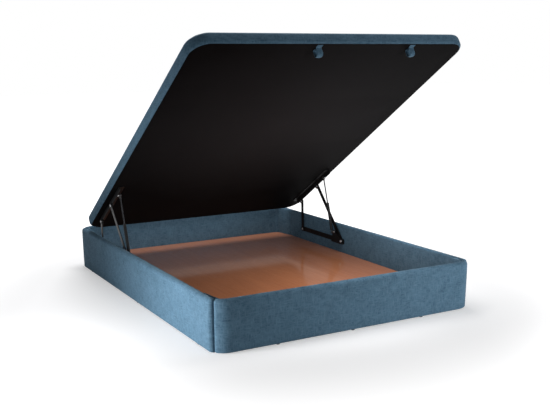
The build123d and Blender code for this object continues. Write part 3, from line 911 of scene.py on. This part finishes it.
blue = chenille()
padded_wall("foot_wall_cover", end_plan, END_LONG, blue, "foot_cover")
padded_wall("head_wall_cover", head_plan, END_LONG, blue, "head_cover")
padded_wall("right_wall_cover", right_plan, SIDE_LONG, blue, "right_side_cover")
padded_wall("left_wall_cover", left_plan, SIDE_LONG, blue, "left_side_cover")
build_posts(blue)
build_border(blue)
build_lining(lining())
build_top(spacer_mesh())
for strap_side, strap_x in zip(("left", "right"), STRAP_X):
    build_strap(strap_side, strap_x, blue)

zinc = metal("bright_zinc", tone(222, 224, 228), tone(168, 170, 174), 0.42, 0.6, (300, 900, 900))
nitrided = metal("nitrided_rod", tone(56, 57, 60), tone(34, 35, 37), 0.2, 0.32, (900, 900, 200))
finishes = {
    "board": particle_board(),
    "batten": pine(),
    "storage_floor": melamine(),
    "black_steel": powder_coat("black_steel", 0.34),
    "tube_steel": powder_coat("tube_steel", 0.5),
    "fastener": zinc,
    "rod_steel": nitrided,
    "black_plastic": nylon(),
    "foam": particle_board(),
    "blue_upholstery": blue,
    "black_lining": bpy.data.materials["black_lining"],
    "grey_mesh": bpy.data.materials["grey_mesh"],
}
slot_of = {row["node"]: row["material_slot"] for row in frame["record"]["subparts"]}
for node_name, node in frame["nodes"].items():
    slot_name = "black_steel" if node_name.endswith(BLACK_SCREWS) else slot_of[node_name]
    node.data.materials.clear()
    node.data.materials.append(finishes[slot_name])


# Stage, light and camera


def build_floor():
    """Pale floor that keeps the object's shadow and runs out into the white background."""
    corners = [(x * FLOOR_HALF, y * FLOOR_HALF, 0) for x, y in ((-1, -1), (1, -1), (1, 1), (-1, 1))]
    mesh = bpy.data.meshes.new("studio_floor")
    mesh.from_pydata(corners, [], [(0, 1, 2, 3)])
    floor = bpy.data.objects.new("studio_floor", mesh)
    bpy.context.scene.collection.objects.link(floor)
    paper = bpy.data.materials.new("studio_paper")
    paper.use_nodes = True
    nodes = paper.node_tree.nodes
    links = paper.node_tree.links
    shader = nodes["Principled BSDF"]
    shader.inputs["Base Color"].default_value = (0.66, 0.66, 0.67, 1)
    shader.inputs["Roughness"].default_value = 0.9
    shader.inputs["Specular IOR Level"].default_value = 0.0
    shader.inputs["Emission Color"].default_value = (1, 1, 1, 1)
    path = nodes.new("ShaderNodeLightPath")
    seen = nodes.new("ShaderNodeMath")
    seen.operation = "MAXIMUM"
    links.new(path.outputs["Is Camera Ray"], seen.inputs[0])
    links.new(path.outputs["Is Glossy Ray"], seen.inputs[1])
    away = nodes.new("ShaderNodeVectorMath")
    away.operation = "LENGTH"
    links.new(nodes.new("ShaderNodeTexCoord").outputs["Object"], away.inputs[0])
    fade = nodes.new("ShaderNodeMapRange")
    fade.interpolation_type = "SMOOTHSTEP"
    fade.inputs["From Min"].default_value = GLOW_START
    fade.inputs["From Max"].default_value = GLOW_END
    fade.inputs["To Min"].default_value = GLOW_NEAR
    fade.inputs["To Max"].default_value = 1.0
    links.new(away.outputs["Value"], fade.inputs["Value"])
    glow = nodes.new("ShaderNodeMath")
    glow.operation = "MULTIPLY"
    links.new(fade.outputs["Result"], glow.inputs[1])
    links.new(seen.outputs[0], glow.inputs[0])
    links.new(glow.outputs[0], shader.inputs["Emission Strength"])
    mesh.materials.append(paper)


def build_world():
    """White surroundings for the camera, softer as a light and in reflections."""
    world = bpy.data.worlds.new("studio")
    bpy.context.scene.world = world
    world.use_nodes = True
    nodes = world.node_tree.nodes
    links = world.node_tree.links
    sky = nodes["Background"]
    sky.inputs["Color"].default_value = (1, 1, 1, 1)
    path = nodes.new("ShaderNodeLightPath")
    pick = nodes.new("ShaderNodeMix")
    pick.inputs["A"].default_value = WORLD_LIGHT
    pick.inputs["B"].default_value = 1.0
    links.new(path.outputs["Is Camera Ray"], pick.inputs["Factor"])
    links.new(pick.outputs["Result"], sky.inputs["Strength"])


def area_light(name, place, target, width, depth, watts, spread_angle):
    """A soft rectangular lamp that looks at a point."""
    lamp = bpy.data.lights.new(name, "AREA")
    lamp.shape = "RECTANGLE"
    lamp.size = width
    lamp.size_y = depth
    lamp.energy = watts
    lamp.spread = math.radians(spread_angle)
    obj = bpy.data.objects.new(name, lamp)
    bpy.context.scene.collection.objects.link(obj)
    obj.location = place
    obj.rotation_euler = (Vector(target) - Vector(place)).to_track_quat("-Z", "Y").to_euler()


def build_camera():
    """Camera at the photograph's viewing angle."""
    lens = bpy.data.cameras.new("camera")
    lens.sensor_fit = "HORIZONTAL"
    lens.sensor_width = SENSOR
    lens.lens = FOCAL_PIXELS * SENSOR / IMAGE_WIDTH
    lens.shift_x = (IMAGE_WIDTH / 2 - CENTRE_PIXEL[0]) / IMAGE_WIDTH
    lens.shift_y = (CENTRE_PIXEL[1] - IMAGE_HEIGHT / 2) / IMAGE_WIDTH
    camera = bpy.data.objects.new("camera", lens)
    bpy.context.scene.collection.objects.link(camera)
    turn = Matrix.Rotation(-CAMERA_YAW, 4, "Z")
    turn @= Matrix.Rotation(math.pi / 2 - CAMERA_PITCH, 4, "X")
    turn @= Matrix.Rotation(CAMERA_ROLL, 4, "Z")
    camera.matrix_world = Matrix.Translation(CAMERA_PLACE) @ turn
    bpy.context.scene.camera = camera


build_floor()
build_world()
for lamp_row in LAMPS:
    area_light(*lamp_row)
build_camera()

bpy.context.scene.view_settings.view_transform = "Standard"
